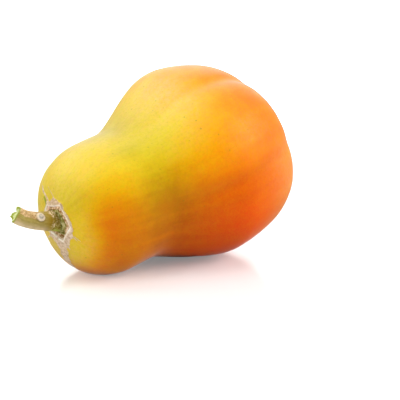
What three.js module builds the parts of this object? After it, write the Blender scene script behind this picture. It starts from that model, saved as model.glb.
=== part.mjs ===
// A whole ripe papaya lying on its side, with the cut stub of its stalk.
//
// Millimetres, +Z up. The origin is the middle of the small flat spot under the belly that the
// fruit rests on. +X runs from the stem end to the blossom end, and -Y is the front.
// The fruit's own axis climbs towards the blossom end, because neck and belly both touch the table.

import * as THREE from 'three';

const { clamp, degToRad, lerp, smoothstep } = THREE.MathUtils;

// ---- The fruit: sizes along and across its axis, which starts at the stem end ----
const FRUIT_LENGTH = 157;
const NECK = { centre: 33, radius: 39, stemReach: 33, farReach: 88, stemPower: 1.95, farPower: 2.6 };
const BELLY_CENTRE = 100.5;
const BELLY = {
  centre: BELLY_CENTRE,
  radius: 52.8,
  stemReach: 53.5,
  farReach: FRUIT_LENGTH - BELLY_CENTRE,
  stemPower: 1.65,
  farPower: 2.4,
};
const WAIST_BLEND = 4; // the higher, the tighter the waist where neck and belly meet
const AXIS_BOW = 2.6; // how far the axis sags at both ends from the middle of the fruit
const AXIS_BOW_TOP = 0.45; // where the axis is highest, as a share of the length

// ---- How it lies ----
const AXIS_PITCH_DEG = 11.3;
const AXIS_START_HEIGHT = 34.5; // of the straight axis's stem end above the table
const REST_FORWARD = 99; // from the stem end to the middle of the rest spot, along the table
const REST_SIDE = 1.5; // of the rest spot from the axis, towards the back

// ---- Five lobes with grooves between them ----
const LOBES = 5;
const LOBE_PITCH_DEG = 360 / LOBES;
const GROOVE_START_DEG = 49; // of the first groove at the stem end, seen from there, back to top
const GROOVE_TWIST_DEG = -19; // from stem end to blossom end
const GROOVE_DRIFT_DEG = [-3, -7, -15, -4, -8]; // of each groove at the stem end, gone by mid-length
const GROOVE_DRIFT_END = 0.45;
const GROOVE_ROUNDING = 0.2;
const GROOVE_DEPTH = { neck: 0.022, belly: 0.047, tip: 0.04 }; // as shares of the radius
const GROOVE_SHARE = [1, 1, 1, 0.45, 0.7]; // the grooves underneath are shallower over the belly
const OVER_BELLY = [0.3, 0.65]; // shares of the length between which neck turns into belly
const OVER_TIP = [0.75, 1];
const SHALLOWER = [0.15, 0.45]; // where the grooves underneath take on their own share
const SWELL_TURNS = [0.3, 0.6]; // where the neck's swelling gives way to the belly's
const NECK_SWELL = [-0.105, 0, 0.015, 0.095, -0.005]; // of each lobe, as shares of the radius
const BELLY_SWELL = [0.035, -0.055, 0.05, 0.025, 0];

// ---- Stem end: a five-sided pit with a corky lip, and a round socket for the stalk ----
const PIT = { reach: 9.8, floorReach: 8.8, depth: 3.4, rise: 0.8 };
const SOCKET = { radius: 5.8, depth: 3.4 };
const LIP = { height: 0.6, width: 1.4 };
const COLLAR_REACH = 14;
const PIT_INFLUENCE = 24; // beyond this reach the skin is free of the pit's five-sided shape
const PIT_CORNERS = 0.85; // 1 would be a true pentagon

// ---- Blossom end: a shallow dimple round a small dry scar ----
const BLOSSOM = { dimpleReach: 8, dimpleDepth: 0.9, scarReach: 1.8, scarHeight: 0.5 };

// ---- The stalk: a stub that leaves the pit along the axis and bends up and back ----
const SEAT_GAP = 0.3;
const STALK_PATH = [
  [PIT.depth + SOCKET.depth - SEAT_GAP, 0, PIT.rise],
  [-4.5, 0, PIT.rise],
  [-16, 0.5, 8],
  [-22.5, 3, 15],
]; // control points: along the axis, to the back, up
const STALK_RADIUS = 4.5;
const FOOT_RADIUS = SOCKET.radius - SEAT_GAP;
const FLARE = { start: 0.12, end: 0.5, quickness: 0.7 }; // shares of the length where the foot slims
const STALK_ANGLES = { count: 5, height: 0.16, fadeFrom: 0.3, fadeTo: 0.6 };
const KNOB = { at: 0.56, aroundDeg: 322, reach: 2.3, height: 0.8, top: 0.55, edge: 1.15 };
const TORN_END = { raggedness: 0.35, dish: 1.3, flapDeg: 240, flapWidthDeg: 34, flapLength: 1.6 };
const TORN_WAVES = [{ count: 3, phase: 1, share: 1 }, { count: 7, phase: 2, share: 0.6 }];

// ---- How finely the surfaces are divided ----
const FRUIT_COLUMNS = 14 * LOBES;
const SKIN_STATIONS = 44;
const STALK_COLUMNS = 30;
const STALK_STATIONS = 26;

/** Half the height of an oval bulge at a place along the axis: it may be longer on one side. */
function ovalRadius(along, { centre, radius, stemReach, farReach, stemPower, farPower }) {
  const nearStem = along < centre;
  const share = nearStem ? (centre - along) / stemReach : (along - centre) / farReach;
  const power = nearStem ? stemPower : farPower;
  return radius * Math.max(1 - share ** power, 0) ** (1 / power);
}

/** The fruit's mean radius: neck and belly ovals run into each other at the waist. */
function meanRadius(along) {
  const neck = ovalRadius(along, NECK) ** WAIST_BLEND;
  const belly = ovalRadius(along, BELLY) ** WAIST_BLEND;
  return (neck + belly) ** (1 / WAIST_BLEND);
}

/** Where along the axis the neck's rounded stem end has a given radius. */
function stemEndPlace(reach) {
  const share = 1 - (Math.min(reach, NECK.radius) / NECK.radius) ** NECK.stemPower;
  return NECK.centre - NECK.stemReach * share ** (1 / NECK.stemPower);
}

/** Where along the axis the belly's rounded blossom end has a given radius. */
function blossomEndPlace(reach) {
  const share = 1 - (reach / BELLY.radius) ** BELLY.farPower;
  return BELLY.centre + BELLY.farReach * share ** (1 / BELLY.farPower);
}

/** One value for each groove or lobe, carried smoothly round from one to the next. */
function carriedRound(values, place) {
  const below = Math.floor(place);
  const weight = Math.sin((place - below) * Math.PI * 0.5) ** 2;
  const at = (i) => values[((i % LOBES) + LOBES) % LOBES];
  return at(below) * (1 - weight) + at(below + 1) * weight;
}

/** The angle round the axis of a place counted in lobes from the first groove. */
function angleOf(lobePlace, share) {
  const drift = carriedRound(GROOVE_DRIFT_DEG, lobePlace) * (1 - smoothstep(share, 0, GROOVE_DRIFT_END));
  return degToRad(GROOVE_START_DEG + GROOVE_TWIST_DEG * share + LOBE_PITCH_DEG * lobePlace + drift);
}

/** How far the surface stands from the mean radius, as a factor: grooves in, swollen lobes out. */
function lobeRelief(lobePlace, share) {
  const ridge = Math.hypot(Math.sin(Math.PI * lobePlace), GROOVE_ROUNDING) - GROOVE_ROUNDING;
  const crestward = ridge / (Math.hypot(1, GROOVE_ROUNDING) - GROOVE_ROUNDING);
  const overBelly = smoothstep(share, ...OVER_BELLY);
  const overTip = smoothstep(share, ...OVER_TIP);
  const depth = GROOVE_DEPTH.neck
    + (GROOVE_DEPTH.belly - GROOVE_DEPTH.neck) * overBelly
    + (GROOVE_DEPTH.tip - GROOVE_DEPTH.belly) * overTip;
  const nearest = ((Math.round(lobePlace) % LOBES) + LOBES) % LOBES;
  const grooveShare = lerp(1, GROOVE_SHARE[nearest], smoothstep(share, ...SHALLOWER));
  const swell = lerp(
    carriedRound(NECK_SWELL, lobePlace - 0.5),
    carriedRound(BELLY_SWELL, lobePlace - 0.5),
    smoothstep(share, ...SWELL_TURNS),
  );
  return 1 - depth * grooveShare * (1 - crestward) + swell;
}

/** How far the bowed axis hangs below a straight one at a place along it. */
function axisSag(along) {
  return AXIS_BOW * 4 * (along / FRUIT_LENGTH - AXIS_BOW_TOP) ** 2;
}

/** Turns a place on the fruit's own axis frame (along, back, up) into the frame it lies in. */
function laidDown(along, back, up, bowedAt = along) {
  const bowed = up - axisSag(bowedAt);
  const pitch = degToRad(AXIS_PITCH_DEG);
  return new THREE.Vector3(
    along * Math.cos(pitch) - bowed * Math.sin(pitch) - REST_FORWARD,
    back - REST_SIDE,
    along * Math.sin(pitch) + bowed * Math.cos(pitch) + AXIS_START_HEIGHT,
  );
}

/**
 * A station in or round the stem pit. Its reach is stretched to five corners near the mouth, and
 * its place along the axis is worked out from where the skin would be. The pit isn't bowed.
 */
function pitStation(reach, placeAlong) {
  return (lobePlace) => {
    const toMouth = smoothstep(reach, SOCKET.radius, PIT.reach);
    const influence = 1 - smoothstep(reach, COLLAR_REACH - 2, PIT_INFLUENCE);
    const fromSide = (lobePlace - Math.floor(lobePlace) - 0.5) * degToRad(LOBE_PITCH_DEG);
    const corners = 1 + PIT_CORNERS * toMouth * influence * (1 / Math.cos(fromSide) - 1);
    const share = stemEndPlace(reach) / FRUIT_LENGTH;
    const relief = lobeRelief(lobePlace, share);
    const angle = angleOf(lobePlace, share);
    const radius = reach * corners * lerp(1, relief, toMouth);
    const back = radius * Math.cos(angle);
    const up = radius * Math.sin(angle) + PIT.rise * influence;
    const skinPlace = stemEndPlace(Math.hypot(back, up) / relief);
    return [placeAlong(skinPlace), back, up, lerp(0, skinPlace, toMouth)];
  };
}

/** A station on the plain skin, at a place along the axis. */
function skinStation(along) {
  return (lobePlace) => {
    const share = along / FRUIT_LENGTH;
    const radius = meanRadius(along) * lobeRelief(lobePlace, share);
    const angle = angleOf(lobePlace, share);
    return [along, radius * Math.cos(angle), radius * Math.sin(angle)];
  };
}

/** A station round the blossom end, raised or sunk along the axis. */
function blossomStation(reach, lift) {
  return (lobePlace) => {
    const share = blossomEndPlace(reach) / FRUIT_LENGTH;
    const radius = reach * lobeRelief(lobePlace, share);
    const angle = angleOf(lobePlace, share);
    return [blossomEndPlace(reach) + lift, radius * Math.cos(angle), radius * Math.sin(angle)];
  };
}

/** Places along the axis that are evenly spaced over the skin between two reaches. */
function evenSkinPlaces(count) {
  const start = stemEndPlace(PIT_INFLUENCE);
  const end = blossomEndPlace(BLOSSOM.dimpleReach);
  const samples = 400;
  const places = [];
  const travelled = [];
  for (let i = 0; i <= samples; i += 1) {
    const along = start + (end - start) * (0.5 - 0.5 * Math.cos((Math.PI * i) / samples));
    const step = i ? Math.hypot(along - places[i - 1], meanRadius(along) - meanRadius(places[i - 1])) : 0;
    places.push(along);
    travelled.push((travelled[i - 1] ?? 0) + step);
  }
  return Array.from({ length: count }, (_, k) => {
    const target = (travelled[samples] * k) / (count - 1);
    const after = clamp(travelled.findIndex((length) => length >= target), 1, samples);
    const part = (target - travelled[after - 1]) / (travelled[after] - travelled[after - 1]);
    return lerp(places[after - 1], places[after], part);
  });
}

/** A closed skin over rings of points, with a single point closing each end. */
function closedSkin(firstPoint, rings, lastPoint) {
  const columns = rings[0].length;
  const points = [firstPoint, ...rings.flat(), lastPoint];
  const vertex = (ring, column) => 1 + ring * columns + (column % columns);
  const last = points.length - 1;
  const faces = [];
  for (let column = 0; column < columns; column += 1) {
    faces.push(0, vertex(0, column + 1), vertex(0, column));
    for (let ring = 0; ring + 1 < rings.length; ring += 1) {
      const [a, b] = [vertex(ring, column), vertex(ring, column + 1)];
      const [c, d] = [vertex(ring + 1, column + 1), vertex(ring + 1, column)];
      faces.push(a, b, c, a, c, d);
    }
    faces.push(vertex(rings.length - 1, column), vertex(rings.length - 1, column + 1), last);
  }
  const geometry = new THREE.BufferGeometry().setFromPoints(points);
  geometry.setIndex(faces);
  geometry.computeVertexNormals();
  return geometry;
}

/** The fruit: pit, lip, lobed skin and blossom scar in one surface, cut flat where it rests. */
function fruitGeometry() {
  const socketFloor = PIT.depth + SOCKET.depth;
  const above = (lift) => (skinPlace) => skinPlace - lift;
  const stations = [
    pitStation(SOCKET.radius, () => socketFloor),
    pitStation(SOCKET.radius + 0.1, () => PIT.depth),
    pitStation(PIT.floorReach, () => PIT.depth),
    pitStation(PIT.floorReach + 0.6, () => PIT.depth * 0.5),
    pitStation(PIT.reach, above(0)),
    pitStation(PIT.reach + LIP.width * 0.35, above(LIP.height * 0.85)),
    pitStation(PIT.reach + LIP.width * 0.75, above(LIP.height)),
    pitStation(PIT.reach + LIP.width * 1.5, above(LIP.height * 0.4)),
    pitStation(PIT.reach + LIP.width * 2.3, above(LIP.height * 0.1)),
    pitStation(COLLAR_REACH, above(0)),
    pitStation(lerp(COLLAR_REACH, PIT_INFLUENCE, 0.3), above(0)),
    pitStation(lerp(COLLAR_REACH, PIT_INFLUENCE, 0.65), above(0)),
    ...evenSkinPlaces(SKIN_STATIONS).map(skinStation),
    blossomStation(BLOSSOM.dimpleReach * 0.65, -BLOSSOM.dimpleDepth * 0.4),
    blossomStation(BLOSSOM.dimpleReach * 0.4, -BLOSSOM.dimpleDepth),
    blossomStation(BLOSSOM.scarReach, BLOSSOM.scarHeight * 0.6),
  ];
  const rested = (place) => {
    const point = laidDown(...place);
    point.z = Math.max(point.z, 0);
    return point;
  };
  const rings = stations.map((station) => Array.from(
    { length: FRUIT_COLUMNS },
    (_, column) => rested(station((column / FRUIT_COLUMNS) * LOBES)),
  ));
  const pitCentre = rested([socketFloor, 0, PIT.rise]);
  const blossomTip = rested([FRUIT_LENGTH + BLOSSOM.scarHeight, 0, 0]);
  return closedSkin(pitCentre, rings, blossomTip);
}

/** The stalk's radius at a share of its length and an angle round it, measured from its top. */
function stalkRadius(share, around) {
  const slimming = smoothstep(share, FLARE.start, FLARE.end);
  const angled = STALK_ANGLES.height
    * (1 - smoothstep(share, STALK_ANGLES.fadeFrom, STALK_ANGLES.fadeTo));
  const body = lerp(FOOT_RADIUS, STALK_RADIUS, slimming ** FLARE.quickness);
  const ridges = share > FLARE.start ? angled * (Math.cos(STALK_ANGLES.count * around) - 1) : 0;
  return body + ridges;
}

/** How far the knob left by a fallen leaf stands out at a place on the stalk. */
function knobHeight(lengthFromKnob, around) {
  const turned = Math.atan2(
    Math.sin(around - degToRad(KNOB.aroundDeg)),
    Math.cos(around - degToRad(KNOB.aroundDeg)),
  );
  const distance = Math.hypot(lengthFromKnob, turned * STALK_RADIUS) / KNOB.reach;
  return KNOB.height * (1 - smoothstep(distance, KNOB.top, KNOB.edge));
}

/** How far the torn rim of the cut end stands out along the stalk. */
function tornRim(around) {
  const ragged = TORN_WAVES.reduce(
    (sum, { count, phase, share }) => sum + share * Math.sin(count * around + phase),
    0,
  );
  const fromFlap = Math.abs(Math.atan2(
    Math.sin(around - degToRad(TORN_END.flapDeg)),
    Math.cos(around - degToRad(TORN_END.flapDeg)),
  ));
  const flap = 1 - smoothstep(fromFlap, 0, degToRad(TORN_END.flapWidthDeg));
  return TORN_END.raggedness * ragged + TORN_END.flapLength * flap;
}

/** The stalk stub: a bent round stem with a flared foot, a leaf knob and a dished, torn end. */
function stalkGeometry() {
  const path = new THREE.CubicBezierCurve3(...STALK_PATH.map((place) => laidDown(...place, 0)));
  const length = path.getLength();
  const towardsBack = new THREE.Vector3(0, 1, 0);
  const ringAt = (share, reach, pushOut) => {
    const centre = path.getPointAt(share);
    const outward = path.getTangentAt(share);
    const side = towardsBack.clone().addScaledVector(outward, -towardsBack.dot(outward)).normalize();
    const top = new THREE.Vector3().crossVectors(side, outward);
    return Array.from({ length: STALK_COLUMNS }, (_, column) => {
      const around = (column / STALK_COLUMNS) * Math.PI * 2;
      const knob = knobHeight((share - KNOB.at) * length, around);
      const radius = (stalkRadius(share, around) + knob) * reach;
      return centre.clone()
        .addScaledVector(top, radius * Math.cos(around))
        .addScaledVector(side, radius * Math.sin(around))
        .addScaledVector(outward, pushOut(around));
    });
  };
  const still = () => 0;
  const rings = Array.from({ length: STALK_STATIONS }, (_, i) => {
    const share = i / STALK_STATIONS;
    return ringAt(share, 1, still);
  });
  rings.push(ringAt(1, 1, tornRim));
  rings.push(ringAt(1, 0.72, (around) => tornRim(around) * 0.5 - TORN_END.dish * 0.5));
  rings.push(ringAt(1, 0.4, () => -TORN_END.dish * 0.9));
  const endCentre = path.getPointAt(1).addScaledVector(path.getTangentAt(1), -TORN_END.dish);
  return closedSkin(path.getPointAt(0), rings, endCentre);
}

const fruit = new THREE.Mesh(
  fruitGeometry(),
  new THREE.MeshStandardMaterial({ color: 0xe9a92c, roughness: 0.42, metalness: 0 }),
);
fruit.name = 'papaya_fruit';

const stalk = new THREE.Mesh(
  stalkGeometry(),
  new THREE.MeshStandardMaterial({ color: 0x8d8f43, roughness: 0.75, metalness: 0 }),
);
stalk.name = 'papaya_stem';

const papaya = new THREE.Group();
papaya.add(fruit, stalk);

export default papaya;
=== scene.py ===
"""A whole ripe papaya lying on its side, with the cut stub of its stalk, in a bright plain studio.

The fruit is one surface worked out on a grid: its profile is two ovals run together, five twisted
lobes swell and pinch it, and its stem end turns in over a corky lip into a five-sided pit. The
stalk is a round profile carried along a bent path. Sizes are in millimetres until a mesh is made.
"""

import logging
import math
from dataclasses import dataclass, field
from enum import Enum
from typing import Any, Sequence

import bpy
import numpy as np
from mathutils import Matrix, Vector


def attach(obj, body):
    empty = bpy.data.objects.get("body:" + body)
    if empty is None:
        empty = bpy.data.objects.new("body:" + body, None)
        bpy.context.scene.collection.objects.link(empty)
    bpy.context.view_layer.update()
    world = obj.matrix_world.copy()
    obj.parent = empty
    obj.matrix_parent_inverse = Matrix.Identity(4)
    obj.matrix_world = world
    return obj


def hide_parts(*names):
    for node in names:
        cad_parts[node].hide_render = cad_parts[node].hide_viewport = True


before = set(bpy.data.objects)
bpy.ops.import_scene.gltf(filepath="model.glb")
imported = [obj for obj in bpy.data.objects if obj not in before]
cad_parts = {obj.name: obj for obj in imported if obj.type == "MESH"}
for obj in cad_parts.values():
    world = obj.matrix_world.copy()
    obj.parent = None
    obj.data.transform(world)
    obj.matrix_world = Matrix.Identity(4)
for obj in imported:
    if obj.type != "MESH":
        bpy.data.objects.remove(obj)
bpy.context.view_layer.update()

LOG = logging.getLogger("papaya")
METRES = 0.001
LOBES = 5
Array = np.ndarray
Colour = tuple[float, float, float]
Pair = tuple[float, float]
Place = tuple[float, float, float]
Stops = tuple[tuple[float, Colour], ...]
Socket = bpy.types.NodeSocket


class Slot(Enum):
    """The record's material slots."""

    SKIN = "skin"
    STALK = "stalk"


class Shine(Enum):
    """What a light does: it lights and shows in the gloss, or does only one of the two."""

    ALL = "lights and shows in the gloss"
    DULL = "lights only"
    ONLY = "shows in the gloss only"


class Mixing(Enum):
    """How a second colour is laid over a first."""

    PLAIN = "MIX"
    MULTIPLY = "MULTIPLY"


def put_in_scene(name: str, data: Any) -> bpy.types.Object:
    """Puts a mesh, a light or a camera into the scene as an object."""
    made = bpy.data.objects.new(name, data)
    bpy.context.scene.collection.objects.link(made)
    return made


# ---- Working with whole arrays ----


def smooth(value: Array, start: float, end: float) -> Array:
    """Rises from 0 at start to 1 at end, level at both, as 3 x squared less 2 x cubed.

    Args:
        value: The numbers to turn into shares.
        start: Where the rise starts.
        end: Where it ends. It may be an array too.

    Returns:
        Shares from 0 to 1, in the shape of value.
    """
    share = np.clip((value - start) / (end - start), 0.0, 1.0)
    return share * share * (3.0 - 2.0 * share)


def mix(first: Array, second: Array, share: Array) -> Array:
    """Runs from first at share 0 to second at share 1."""
    return first + (second - first) * share


def bell(distance: Array) -> Array:
    """A soft bump: 1 in its middle, 0.37 at distance 1, as e to the power of less the square."""
    return np.exp(-(distance**2))


def carried_round(values: Sequence[float], place: Array) -> Array:
    """Carries evenly spaced values round the fruit, by a squared sine between two.

    Args:
        values: The values, such as one for each lobe, from the first groove on.
        place: Where on the round, counted in lobes.

    Returns:
        The value at each place.
    """
    table = np.asarray(values, dtype=float)
    step = place * (len(table) / LOBES)
    below = np.floor(step).astype(int)
    weight = np.sin((step - below) * np.pi / 2) ** 2
    return mix(table[below % len(table)], table[(below + 1) % len(table)], weight)


def turned(angle: Array, from_deg: float) -> Array:
    """The angle in degrees from a direction, between -180 and 180."""
    return (np.degrees(angle) - from_deg + 180.0) % 360.0 - 180.0


@dataclass(frozen=True)
class Ripples:
    """Seeded soft noise over space: a sum of plane waves in random directions, about -1 to 1."""

    wavelength: float
    waves: int = 14
    seed: int = 1

    def at(self, points: Array) -> Array:
        """Adds up the waves: each is the sine of a point's distance along its own direction.

        Args:
            points: Places, with three numbers in the last axis.

        Returns:
            The noise at each place.
        """
        draw = np.random.default_rng(self.seed)
        ways = draw.normal(size=(self.waves, 3))
        ways /= np.linalg.norm(ways, axis=1, keepdims=True)
        pace = 2 * np.pi / (self.wavelength * draw.uniform(0.7, 1.5, size=self.waves))
        phase = draw.uniform(0, 2 * np.pi, size=self.waves)
        total = np.zeros(points.shape[:-1])
        for way, k, start in zip(ways, pace, phase):
            total += np.sin(points @ way * k + start)
        return total / math.sqrt(self.waves / 2) / 1.6


@dataclass
class ClosedSkin:
    """A closed surface over rings of points, with a single point closing each end.

    Going up the columns turns right-handedly about the way from the last ring to the first, so
    the faces point outwards.
    """

    first: Array
    rings: Array
    last: Array
    marks: dict[str, Array] = field(default_factory=dict)

    def outward(self) -> Array:
        """The surface's normals: the product of its slopes across and along the rings."""
        across = np.roll(self.rings, -1, axis=1) - np.roll(self.rings, 1, axis=1)
        along = np.gradient(self.rings, axis=0)
        normal = np.cross(across, along)
        return normal / np.maximum(np.linalg.norm(normal, axis=-1, keepdims=True), 1e-9)

    def faces(self) -> list[list[int]]:
        """A fan at each end and a four-sided face between each two rings and columns."""
        count, columns = self.rings.shape[:2]
        here = np.arange(columns)
        beside = (here + 1) % columns
        start = 1 + np.arange(count - 1)[:, None] * columns
        sides = [start + here, start + beside, start + columns + beside, start + columns + here]
        quads = np.stack(sides, axis=-1).reshape(-1, 4)
        end = 1 + (count - 1) * columns
        tip = np.full(columns, end + columns)
        first_fan = np.stack([np.zeros(columns, int), 1 + beside, 1 + here], axis=-1)
        last_fan = np.stack([end + here, end + beside, tip], axis=-1)
        return first_fan.tolist() + quads.tolist() + last_fan.tolist()

    def made(self, name: str, material: bpy.types.Material) -> bpy.types.Object:
        """Makes the mesh, with each mark as a point attribute.

        Args:
            name: The piece's name.
            material: What it is made of.

        Returns:
            The piece, with its origin at the world's and its place in its mesh.
        """
        points = np.vstack([self.first[None], self.rings.reshape(-1, 3), self.last[None]])
        mesh = bpy.data.meshes.new(name)
        mesh.from_pydata((points * METRES).tolist(), [], self.faces())
        mesh.polygons.foreach_set("use_smooth", np.ones(len(mesh.polygons), dtype=bool))
        for mark, values in self.marks.items():
            is_vector = values.ndim == 3
            width = 3 if is_vector else 1
            flat = values.reshape(-1, width)
            ends = [values[0].reshape(-1, width).mean(0), values[-1].reshape(-1, width).mean(0)]
            whole = np.vstack([ends[0][None], flat, ends[1][None]]).astype(np.float32)
            kind = "FLOAT_VECTOR" if is_vector else "FLOAT"
            attribute = mesh.attributes.new(mark, kind, "POINT")
            attribute.data.foreach_set("vector" if is_vector else "value", whole.ravel())
        mesh.update()
        mesh.validate()
        mesh.materials.append(material)
        return put_in_scene(name, mesh)


# ---- Writing materials ----


class Value:
    """A number that varies over a surface: it wraps a socket, and sums on it add Math nodes."""

    def __init__(self, nodes: "Nodes", socket: Socket) -> None:
        """Keeps the node tree that the socket is in, so that sums can be added to it."""
        self.nodes = nodes
        self.socket = socket

    def __add__(self, other: Any) -> "Value":
        """This plus other."""
        return self.nodes.maths("ADD", self, other)

    def __sub__(self, other: Any) -> "Value":
        """This less other."""
        return self.nodes.maths("SUBTRACT", self, other)

    def __rsub__(self, other: Any) -> "Value":
        """Other less this."""
        return self.nodes.maths("SUBTRACT", other, self)

    def __mul__(self, other: Any) -> "Value":
        """This times other."""
        return self.nodes.maths("MULTIPLY", self, other)

    __radd__ = __add__

    def held(self) -> "Value":
        """This, held between 0 and 1."""
        return self.nodes.maths("ADD", self, 0.0, clamped=True)

    def rise(self, start: float, end: float) -> "Value":
        """0 where this is below start and 1 above end, with a smooth step between."""
        return self.nodes.value(
            "ShaderNodeMapRange", {"interpolation_type": "SMOOTHSTEP"}, Value=self,
            **{"From Min": start, "From Max": end},
        )


class Nodes:
    """One material's node tree, and the ways of adding to it."""

    def __init__(self, name: str) -> None:
        """Makes an empty material with an output node."""
        self.material = bpy.data.materials.new(name)
        self.material.use_nodes = True
        self.tree = self.material.node_tree
        self.tree.nodes.clear()
        self.out = self.tree.nodes.new("ShaderNodeOutputMaterial")

    def node(self, kind: str, settings: dict[str, Any] | None = None, **inputs: Any) -> bpy.types.Node:
        """Adds any node.

        Args:
            kind: The node's type.
            settings: Its own settings, which are set first. "stops" sets a ramp's stops.
            inputs: The values or links of its sockets, by socket name or as _0, _1 by number.

        Returns:
            The node.
        """
        made = self.tree.nodes.new(kind)
        for name, setting in (settings or {}).items():
            if name == "stops":
                self.set_stops(made.color_ramp, setting)
            else:
                setattr(made, name, setting)
        for name, given in inputs.items():
            socket = made.inputs[int(name[1:])] if name[0] == "_" else made.inputs[name]
            given = given.socket if isinstance(given, Value) else given
            if isinstance(given, Socket):
                self.tree.links.new(given, socket)
            elif socket.type == "RGBA" and len(given) == 3:
                socket.default_value = (*given, 1.0)
            else:
                socket.default_value = given
        return made

    @staticmethod
    def set_stops(ramp: bpy.types.ColorRamp, stops: Stops) -> None:
        """Sets a ramp's places and colours."""
        while len(ramp.elements) < len(stops):
            ramp.elements.new(0.5)
        for element, (place, colour) in zip(ramp.elements, stops):
            element.position = place
            element.color = (*colour, 1.0)

    def maths(self, operation: str, *parts: Any, clamped: bool = False) -> Value:
        """Adds a Math node on two or three numbers or values."""
        settings = {"operation": operation, "use_clamp": clamped}
        return self.value("ShaderNodeMath", settings, **{f"_{i}": part for i, part in enumerate(parts)})

    def value(self, kind: str, settings: dict[str, Any] | None = None, **inputs: Any) -> Value:
        """Adds a node whose first output is a number."""
        return Value(self, self.node(kind, settings, **inputs).outputs[0])

    def mark(self, name: str) -> Value:
        """One of the piece's own marks, as a number."""
        return Value(self, self.node("ShaderNodeAttribute", {"attribute_name": name}).outputs["Fac"])

    def directions(self, name: str) -> Socket:
        """One of the piece's own marks, as a vector."""
        return self.node("ShaderNodeAttribute", {"attribute_name": name}).outputs["Vector"]

    def place(self) -> Socket:
        """The place in the object, in metres."""
        return self.node("ShaderNodeTexCoord").outputs["Object"]

    def noise(
        self, where: Socket, size_mm: float, detail: float = 2.0, rough: float = 0.5
    ) -> Value:
        """Cloudy noise from 0 to 1.

        Args:
            where: The coordinates, in metres.
            size_mm: How far apart the clouds are.
            detail: How many times finer clouds are added.
            rough: How strong the finer clouds are.

        Returns:
            The noise.
        """
        return self.value(
            "ShaderNodeTexNoise", None, Vector=where, Scale=1000.0 / size_mm, Detail=detail,
            Roughness=rough,
        )

    def swing(
        self, where: Socket, size_mm: float, detail: float = 3.0, rough: float = 0.6
    ) -> Value:
        """The same noise about 0, from -0.5 to 0.5."""
        return self.noise(where, size_mm, detail, rough) - 0.5

    def spots(self, where: Socket, apart_mm: float, reach_mm: float, kept: float) -> Value:
        """Scattered round spots with soft edges, of many sizes.

        Args:
            where: The coordinates, in metres.
            apart_mm: How far apart the cells are that may hold a spot.
            reach_mm: The radius of the largest spots.
            kept: The share of the cells that hold a spot.

        Returns:
            1 inside the spots and 0 outside.
        """
        cells = self.node("ShaderNodeTexVoronoi", None, Vector=where, Scale=1000.0 / apart_mm)
        lot = self.value("ShaderNodeSeparateColor", None, Color=cells.outputs["Color"])
        reach = (lot - (1.0 - kept)) * (reach_mm / apart_mm / kept)
        near = Value(self, cells.outputs["Distance"])
        steepness = 2.2 * apart_mm / reach_mm
        return ((reach - near) * steepness).held()

    def blend(
        self, share: Any, first: Any, second: Any, way: Mixing = Mixing.PLAIN
    ) -> Socket:
        """Mixes two colours.

        Args:
            share: How much of the second colour there is.
            first: A colour or a socket.
            second: A colour or a socket.
            way: How the second colour is laid over the first.

        Returns:
            The colour's socket.
        """
        settings = {"data_type": "RGBA", "blend_type": way.value}
        return self.node("ShaderNodeMix", settings, _0=share, _6=first, _7=second).outputs[2]

    def ramp(self, value: Value, stops: Stops) -> Socket:
        """Turns a number into a colour, by stops that are smoothly joined."""
        return self.node("ShaderNodeValToRGB", {"stops": stops}, Fac=value).outputs["Color"]

    def bumped(self, height: Value, depth_mm: float) -> Socket:
        """A normal, from a height between 0 and 1 that stands for a depth in millimetres."""
        made = self.node("ShaderNodeBump", None, Strength=1.0, Distance=depth_mm * METRES, Height=height)
        return made.outputs["Normal"]

    def finish(self, **inputs: Any) -> bpy.types.Material:
        """Ends the material in one Principled shader with these sockets."""
        shader = self.node("ShaderNodeBsdfPrincipled", None, **inputs)
        self.tree.links.new(shader.outputs["BSDF"], self.out.inputs["Surface"])
        return self.material


# ---- The fruit ----


@dataclass(frozen=True)
class Oval:
    """One bulge of the fruit in profile, which may be longer on one side than on the other."""

    centre: float
    radius: float
    stem_reach: float
    far_reach: float
    stem_power: float
    far_power: float

    def radius_at(self, along: Array) -> Array:
        """The oval's half height: its radius times the root of 1 less the share of its reach.

        Args:
            along: Places along the fruit's axis.

        Returns:
            The radius at each place, 0 past the oval's ends.
        """
        near = along < self.centre
        reach = np.where(near, self.stem_reach, self.far_reach)
        power = np.where(near, self.stem_power, self.far_power)
        share = np.abs(along - self.centre) / reach
        return self.radius * np.maximum(1 - share**power, 0.0) ** (1 / power)

    def stem_end(self, radius: Array) -> Array:
        """Where along the axis the end towards the stem has a given radius."""
        share = 1 - (np.minimum(radius, self.radius) / self.radius) ** self.stem_power
        return self.centre - self.stem_reach * share ** (1 / self.stem_power)

    def far_end(self, radius: Array) -> Array:
        """Where along the axis the other end has a given radius."""
        share = 1 - (radius / self.radius) ** self.far_power
        return self.centre + self.far_reach * share ** (1 / self.far_power)


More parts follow.
